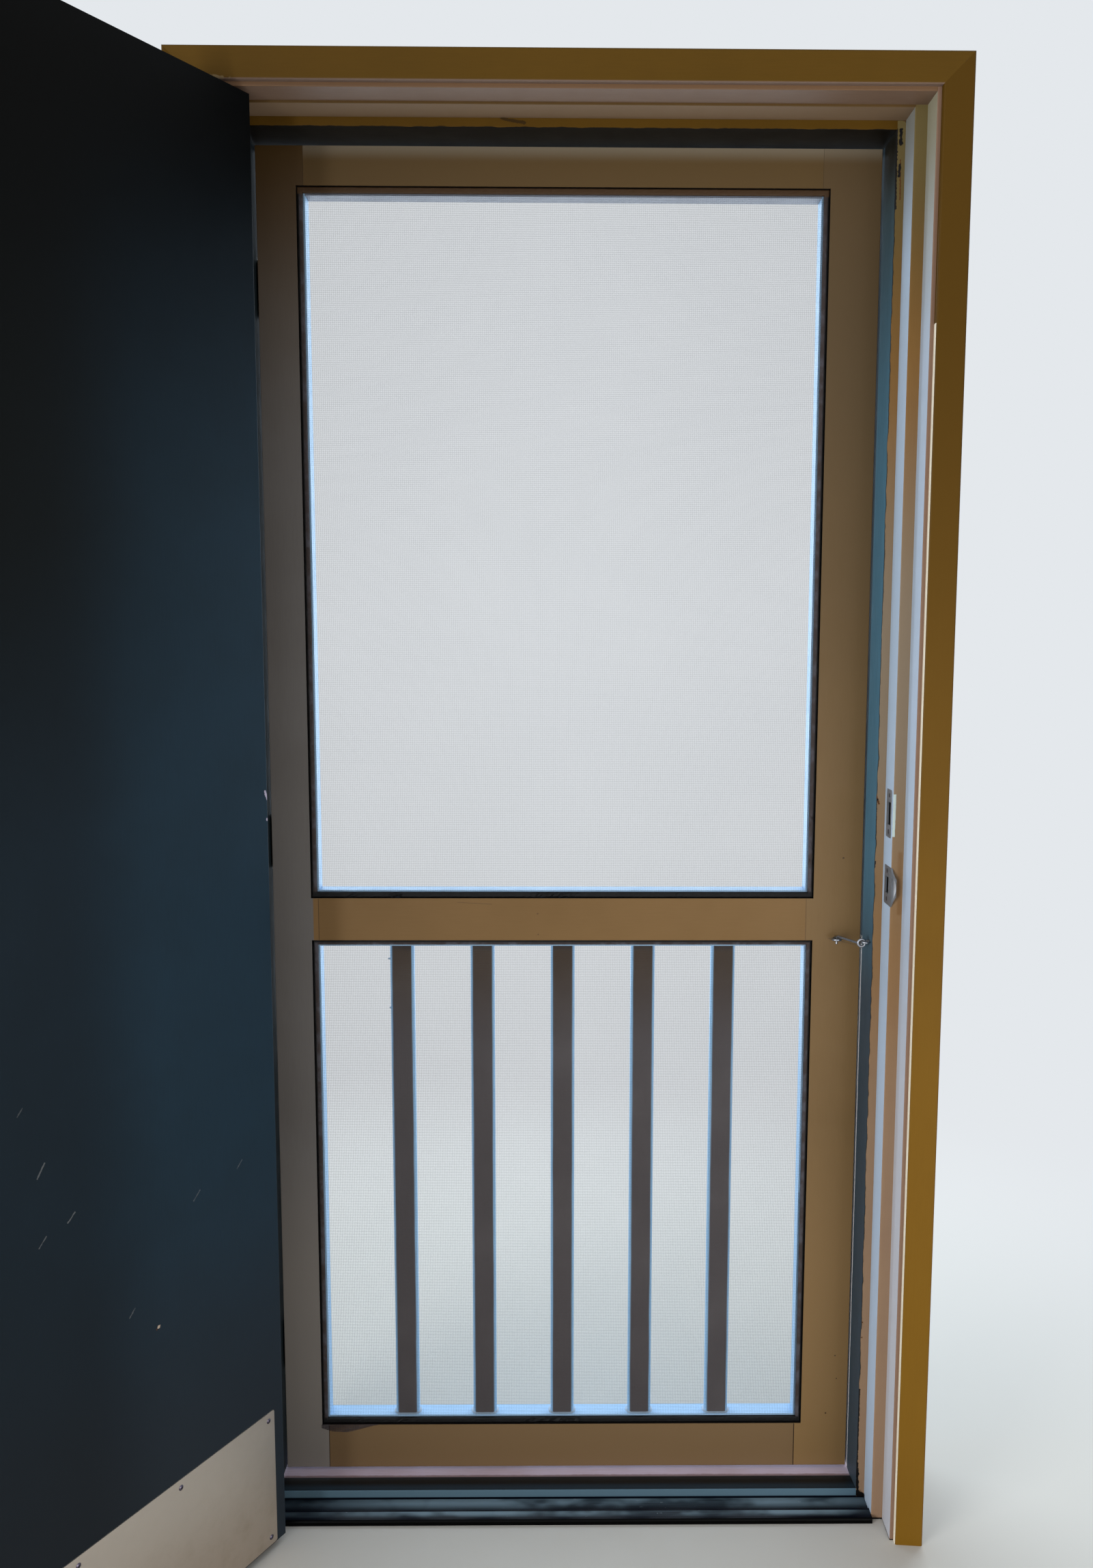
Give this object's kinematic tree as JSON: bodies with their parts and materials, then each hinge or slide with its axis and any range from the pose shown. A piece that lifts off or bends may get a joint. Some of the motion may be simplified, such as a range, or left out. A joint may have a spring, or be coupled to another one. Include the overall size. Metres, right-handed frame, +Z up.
{
  "type": "entry door and screen door in a shared frame",
  "caption": "Flush entry door with a kick plate, standing open, and a timber screen door with upright bars, closed by a hook, in one cased frame with a sill.",
  "frame": {"origin": "on the floor line under the sill, midway between the stops, in the plane of the stop faces that the entry door closes against", "axes": "+Z is up; +Y points outdoors, away from the room; +X points to the lock side, to the right seen from the room"},
  "size_m": [1.4808, 1.0036, 2.101],
  "materials": {
    "frame_paint": "cream satin paint on timber",
    "jamb_paint": "cream satin paint on timber, outer part dark teal",
    "sill_paint": "worn dark teal gloss paint on timber",
    "outer_sill_paint": "worn pale grey paint on timber",
    "outdoor_paint": "dark teal satin paint on timber",
    "screen_paint": "beige satin paint on timber",
    "leaf_paint": "dark blue-green satin paint on a solid-core door",
    "kick_metal": "satin anodised sheet",
    "lock_steel": "satin",
    "lock_metal": "satin nickel look",
    "hinge_metal": "satin",
    "zinc_wire": "zinc-plated wire",
    "mesh": "fine woven insect screen",
    "spline_rubber": "matt"
  },
  "bodies": {
    "frame": {"jamb_left": "jamb_paint", "jamb_right": "jamb_paint", "jamb_head": "jamb_paint", "extension_left": "frame_paint", "extension_right": "frame_paint", "extension_head": "frame_paint", "threshold": "sill_paint", "sill": "sill_paint", "outer_sill": "outer_sill_paint", "casing_left": "frame_paint", "casing_right": "frame_paint", "casing_head": "frame_paint", "outdoor_trim_left": "outdoor_paint", "outdoor_trim_right": "outdoor_paint", "outdoor_trim_head": "outdoor_paint", "deadbolt_strike": "lock_steel", "latch_strike": "lock_steel", "jamb_eye": "zinc_wire", "entry_hinge_bottom_jamb_leaf": "hinge_metal", "entry_hinge_middle_jamb_leaf": "hinge_metal", "entry_hinge_top_jamb_leaf": "hinge_metal", "entry_hinge_pins": "hinge_metal", "screen_hinge_jamb_leaves": "hinge_metal", "screen_hinge_pins": "hinge_metal"},
    "entry_door": {"entry_leaf": "leaf_paint", "kick_plate": "kick_metal", "latch_tube": "lock_steel", "deadbolt_tube": "lock_steel", "rose_outdoor": "lock_metal", "rose_indoor": "lock_metal", "deadbolt_cylinder": "lock_metal", "thumb_turn_plate": "lock_metal", "entry_hinge_bottom_door_leaf": "hinge_metal", "entry_hinge_middle_door_leaf": "hinge_metal", "entry_hinge_top_door_leaf": "hinge_metal"},
    "screen_door": {"screen_stile_hinge": "screen_paint", "screen_stile_lock": "screen_paint", "screen_rail_top": "screen_paint", "screen_rail_middle": "screen_paint", "screen_rail_bottom": "screen_paint", "baluster_1": "screen_paint", "baluster_2": "screen_paint", "baluster_3": "screen_paint", "baluster_4": "screen_paint", "baluster_5": "screen_paint", "mesh_upper": "mesh", "mesh_lower": "mesh", "mesh_spline_upper": "spline_rubber", "mesh_spline_lower": "spline_rubber", "screen_pull": "zinc_wire", "stile_eye": "zinc_wire", "screen_hinge_door_leaves": "hinge_metal"},
    "knobs": {"knob_outdoor": "lock_metal", "knob_indoor": "lock_metal", "knob_spindle": "lock_steel"},
    "latch": {"latch_bolt": "lock_steel"},
    "dead_bolt": {"deadbolt": "lock_steel"},
    "turn": {"thumb_turn": "lock_metal"},
    "hook": {"latch_hook": "zinc_wire"}
  },
  "joints": [
    {"name": "entry_swing", "type": "hinge", "parent": "frame", "child": "entry_door", "pos_m": [-0.461, -0.0525, 1.02], "axis": [0, 0, 1], "range_deg": [0, 121]},
    {"name": "screen_swing", "type": "hinge", "parent": "frame", "child": "screen_door", "pos_m": [-0.4485, 0.1026, 1.02], "axis": [0, 0, 1], "range_deg": [0, 105]},
    {"name": "hook_lift", "type": "hinge", "parent": "frame", "child": "hook", "pos_m": [0.4375, 0.014, 0.8815], "axis": [0, 1, 0], "range_deg": [0, 100]},
    {"name": "knob_turn", "type": "hinge", "parent": "entry_door", "child": "knobs", "pos_m": [-0.87955, -0.8049, 0.978], "axis": [0.8572, -0.515, 0], "range_deg": [0, 60], "stiffness_Nm_per_rad": 0.25},
    {"name": "latch_slide", "type": "slide", "parent": "entry_door", "child": "latch", "axis": [0.515, 0.8572, 0], "range_m": [0, 0.0115]},
    {"name": "turn_turn", "type": "hinge", "parent": "entry_door", "child": "turn", "pos_m": [-0.87955, -0.8049, 1.0825], "axis": [0.8572, -0.515, 0], "range_deg": [0, 90]},
    {"name": "dead_bolt_slide", "type": "slide", "parent": "entry_door", "child": "dead_bolt", "axis": [-0.515, -0.8572, 0], "range_m": [0, 0.025]}
  ],
  "couplings": [
    {"joint": "latch_slide", "follows": "knob_turn", "m_per_rad": 0.01095},
    {"joint": "turn_turn", "follows": "dead_bolt_slide", "rad_per_m": 62.8}
  ]
}
